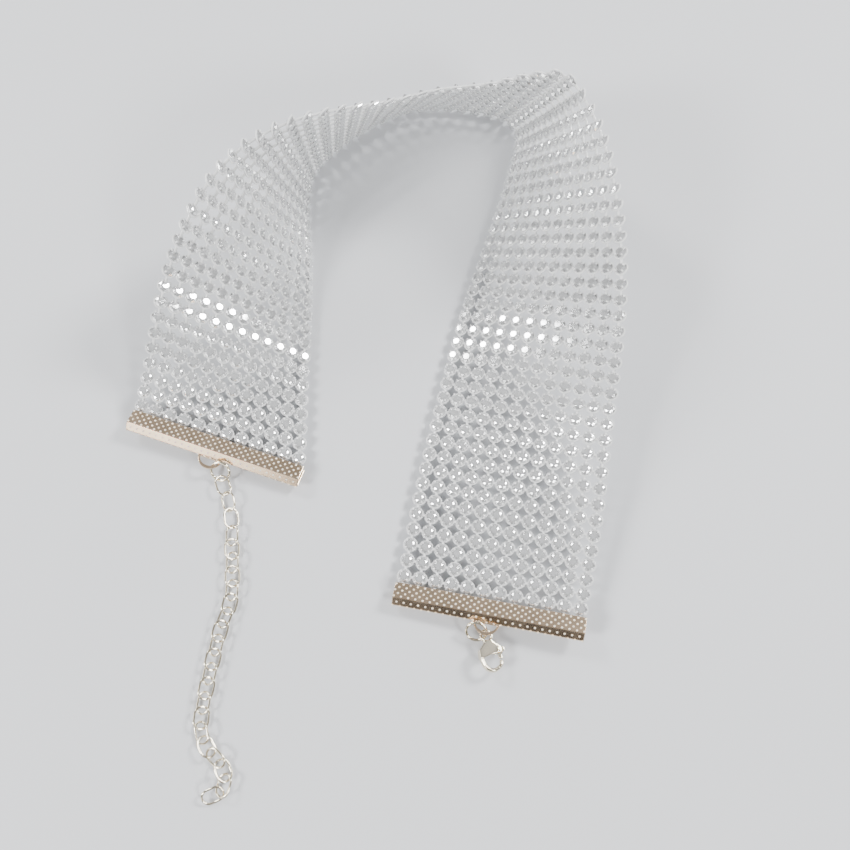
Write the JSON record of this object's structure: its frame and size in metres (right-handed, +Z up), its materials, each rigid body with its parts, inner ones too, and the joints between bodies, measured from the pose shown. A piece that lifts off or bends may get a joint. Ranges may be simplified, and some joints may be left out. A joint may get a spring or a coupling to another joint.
{
  "type": "choker necklace",
  "caption": "Wide open choker: a flexible net of round clear cut stones with a metal clamp on each end, a lobster clasp and an extender chain.",
  "frame": {"origin": "middle of the footprint, on the surface that the necklace lies on", "axes": "+Z up, +Y away along the branches towards the far end of the loop, +X across to the clasp's branch"},
  "size_m": [0.135, 0.2022, 0.0486],
  "materials": {
    "net": "clear cut stones in clear plastic cups",
    "clamp_gold": "polished pale rose gold plate with raised dots",
    "wire_gold": "polished pale gold plate"
  },
  "bodies": {
    "choker": {"band_right": "net", "band_left": "net", "clamp_right": "clamp_gold", "clamp_left": "clamp_gold", "ring_right": "wire_gold", "ring_left": "wire_gold", "clasp_body": "wire_gold", "link_01": "wire_gold", "link_02": "wire_gold", "link_03": "wire_gold", "link_04": "wire_gold", "link_05": "wire_gold", "link_06": "wire_gold", "link_07": "wire_gold", "link_08": "wire_gold", "link_09": "wire_gold", "link_10": "wire_gold", "link_11": "wire_gold", "link_12": "wire_gold", "link_13": "wire_gold", "link_14": "wire_gold", "link_15": "wire_gold", "link_16": "wire_gold", "link_17": "wire_gold", "link_18": "wire_gold", "link_19": "wire_gold", "link_20": "wire_gold", "link_21": "wire_gold", "link_22": "wire_gold", "link_23": "wire_gold"},
    "lever": {"clasp_lever": "wire_gold"}
  },
  "joints": [
    {"name": "clasp_lever_turn", "type": "hinge", "parent": "choker", "child": "lever", "pos_m": [0.0329, -0.06412, 0.00292], "axis": [-0.2162, -0.1485, -0.965], "range_deg": [0, 22], "stiffness_Nm_per_rad": 0.002, "springref_deg": -5.73}
  ]
}
